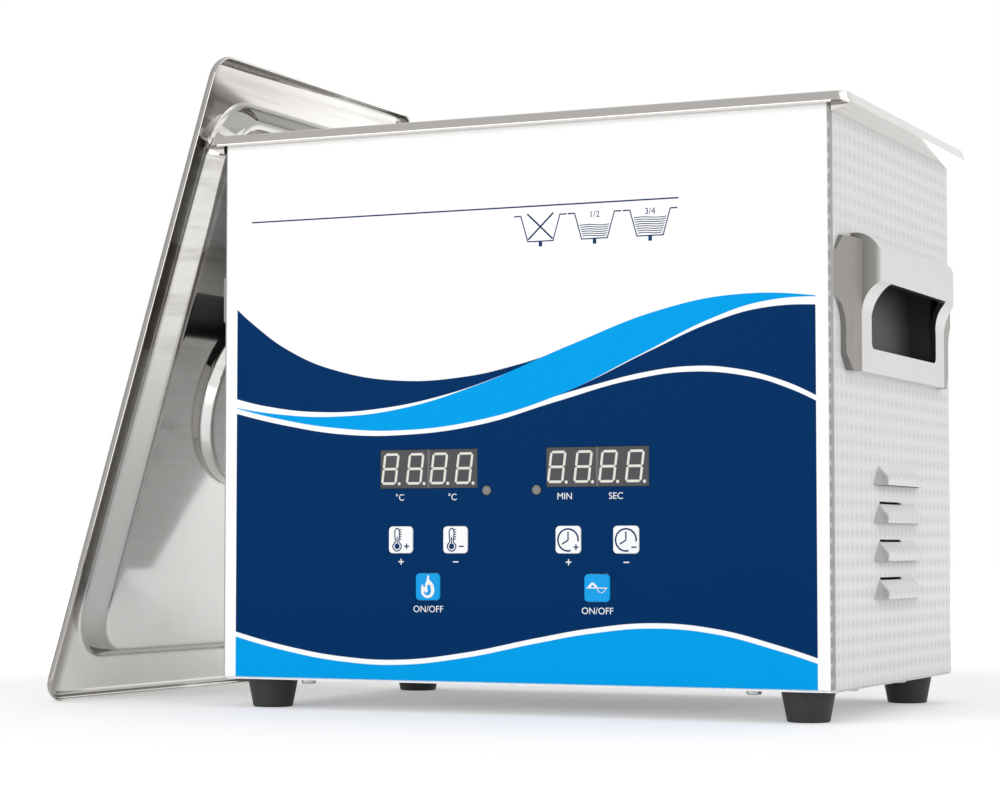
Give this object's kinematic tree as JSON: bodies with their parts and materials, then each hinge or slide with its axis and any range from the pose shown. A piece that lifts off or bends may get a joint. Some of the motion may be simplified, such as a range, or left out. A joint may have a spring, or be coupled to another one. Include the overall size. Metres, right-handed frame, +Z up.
{
  "type": "ultrasonic cleaner",
  "caption": "Benchtop ultrasonic cleaning bath with a steel tank, printed keypad front with displays, side handles, louvres, rubber feet and a loose lid leaning on its side.",
  "frame": {"origin": "centre of the base plate's underside; the feet reach 12 mm below it", "axes": "+Z up, -Y towards the keypad front, +X to the right seen from the front; the lid leans on the -X side"},
  "size_m": [0.3654, 0.1872, 0.2746],
  "materials": {
    "casing_paint": "light grey textured coating, low gloss",
    "polished_steel": "mirror-polished stainless steel",
    "base_zinc": "zinc-coated sheet steel",
    "screw_steel": "zinc-plated steel",
    "raw_aluminium": "machined",
    "brass": "plain",
    "ferrite": "ferrite core, matt dark grey",
    "piezo_ceramic": "fired, silvered faces",
    "circuit_board": "green solder mask",
    "capacitor_sleeve": "black shrink sleeve",
    "heater_silicone": "silicone heater mat",
    "display_window": "dark grey face with pale unlit segments",
    "led_lens": "grey diffuser",
    "overlay_film": "satin printed film, navy and sky blue bands on white",
    "key_white": "satin white",
    "key_blue": "satin sky blue",
    "silver_plastic": "silver painted, satin",
    "black_plastic": "moulded black",
    "rocker_plastic": "moulded black",
    "foot_rubber": "black moulded rubber"
  },
  "bodies": {
    "housing": {"base_plate": "base_zinc", "base_screws": "screw_steel", "board_capacitors": "capacitor_sleeve", "board_heatsink": "raw_aluminium", "board_standoffs": "brass", "board_transformer": "ferrite", "casing": "casing_paint", "control_board": "circuit_board", "control_spacers": "brass", "display_left_a": "display_window", "display_left_b": "display_window", "display_right_a": "display_window", "display_right_b": "display_window", "foot_front_left": "foot_rubber", "foot_front_right": "foot_rubber", "foot_nuts": "screw_steel", "foot_rear_left": "foot_rubber", "foot_rear_right": "foot_rubber", "foot_screws": "screw_steel", "front_overlay": "overlay_film", "generator_board": "circuit_board", "handle_left": "silver_plastic", "handle_pocket_left": "black_plastic", "handle_pocket_right": "black_plastic", "handle_right": "silver_plastic", "handle_screws": "screw_steel", "heater_pad_front": "heater_silicone", "heater_pad_rear": "heater_silicone", "inlet_blades": "brass", "inlet_screws": "screw_steel", "mains_inlet": "black_plastic", "rear_panel": "casing_paint", "rear_screws": "screw_steel", "rim_seal": "foot_rubber", "status_leds": "led_lens", "switch_housing": "black_plastic", "tact_switches": "black_plastic", "tank": "polished_steel", "temperature_sensor": "brass", "transducer_electrodes": "brass", "transducer_left_back_mass": "screw_steel", "transducer_left_bolt": "screw_steel", "transducer_left_front_mass": "raw_aluminium", "transducer_left_piezo_rings": "piezo_ceramic", "transducer_right_back_mass": "screw_steel", "transducer_right_bolt": "screw_steel", "transducer_right_front_mass": "raw_aluminium", "transducer_right_piezo_rings": "piezo_ceramic"},
    "lid": {"lid": "polished_steel", "lid_handle": "polished_steel"},
    "power_rocker": {"power_rocker": "rocker_plastic"},
    "fuse_drawer": {"fuse_drawer": "black_plastic"},
    "key_heater": {"key_heater": "key_blue"},
    "key_ultrasonic": {"key_ultrasonic": "key_blue"},
    "key_temperature_up": {"key_temperature_up": "key_white"},
    "key_temperature_down": {"key_temperature_down": "key_white"},
    "key_time_up": {"key_time_up": "key_white"},
    "key_time_down": {"key_time_down": "key_white"}
  },
  "joints": [
    {"name": "key_heater_press", "type": "slide", "parent": "housing", "child": "key_heater", "axis": [0, 1, 0], "range_m": [0, 0.0004], "stiffness_N_per_m": 4000},
    {"name": "key_ultrasonic_press", "type": "slide", "parent": "housing", "child": "key_ultrasonic", "axis": [0, 1, 0], "range_m": [0, 0.0004], "stiffness_N_per_m": 4000},
    {"name": "key_temperature_up_press", "type": "slide", "parent": "housing", "child": "key_temperature_up", "axis": [0, 1, 0], "range_m": [0, 0.0004], "stiffness_N_per_m": 4000},
    {"name": "key_temperature_down_press", "type": "slide", "parent": "housing", "child": "key_temperature_down", "axis": [0, 1, 0], "range_m": [0, 0.0004], "stiffness_N_per_m": 4000},
    {"name": "key_time_up_press", "type": "slide", "parent": "housing", "child": "key_time_up", "axis": [0, 1, 0], "range_m": [0, 0.0004], "stiffness_N_per_m": 4000},
    {"name": "key_time_down_press", "type": "slide", "parent": "housing", "child": "key_time_down", "axis": [0, 1, 0], "range_m": [0, 0.0004], "stiffness_N_per_m": 4000},
    {"name": "power_rocker_tilt", "type": "hinge", "parent": "housing", "child": "power_rocker", "pos_m": [-0.028, 0.0843, 0.052], "axis": [-1, 0, 0], "range_deg": [0, 24]},
    {"name": "fuse_drawer_slide", "type": "slide", "parent": "housing", "child": "fuse_drawer", "axis": [0, 1, 0], "range_m": [0, 0.015]},
    {"name": "lid_tip", "type": "hinge", "parent": "housing", "child": "lid", "pos_m": [-0.22356, 0.0074, -0.01068], "axis": [0, -1, 0], "range_deg": [0, 107]}
  ]
}
